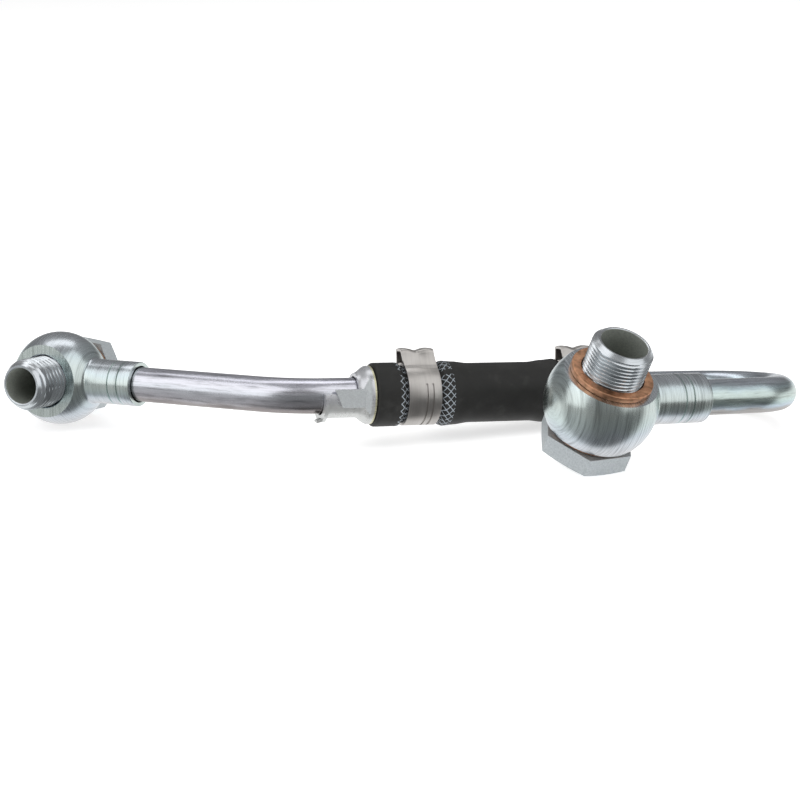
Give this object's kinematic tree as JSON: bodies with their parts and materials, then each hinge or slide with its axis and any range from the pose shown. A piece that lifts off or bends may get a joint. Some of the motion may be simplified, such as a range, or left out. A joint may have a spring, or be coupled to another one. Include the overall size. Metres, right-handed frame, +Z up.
{
  "type": "turbo coolant line",
  "caption": "Coolant pipe with a ball-shaped banjo fitting on each end, two bent steel tubes and a rubber hose held by ear clamps.",
  "frame": {"origin": "middle of the part in plan, on the surface that it rests on", "axes": "+X along the longest extent, from the small banjo to the U bend; +Y away from the large banjo, towards the hose; +Z up"},
  "size_m": [0.2154, 0.0786, 0.0383],
  "materials": {
    "zinc_steel": "bright zinc plate",
    "tinted_zinc": "zinc plate with a faint rainbow passivation",
    "bracket_steel": "dull zinc plate",
    "clamp_steel": "warm grey stainless strip",
    "copper": "dull copper",
    "hose_rubber": "matt black with white lattice print"
  },
  "bodies": {
    "root": {"small_banjo_eye": "tinted_zinc", "small_banjo_bolt": "zinc_steel", "small_copper_washer": "copper", "inlet_tube": "zinc_steel", "hose_stop_bracket": "bracket_steel", "coolant_hose": "hose_rubber", "left_ear_clamp": "clamp_steel", "right_ear_clamp": "clamp_steel", "return_tube": "tinted_zinc", "large_banjo_eye": "tinted_zinc", "large_banjo_bolt": "zinc_steel", "upper_copper_washer": "copper", "lower_copper_washer": "copper"}
  },
  "joints": []
}
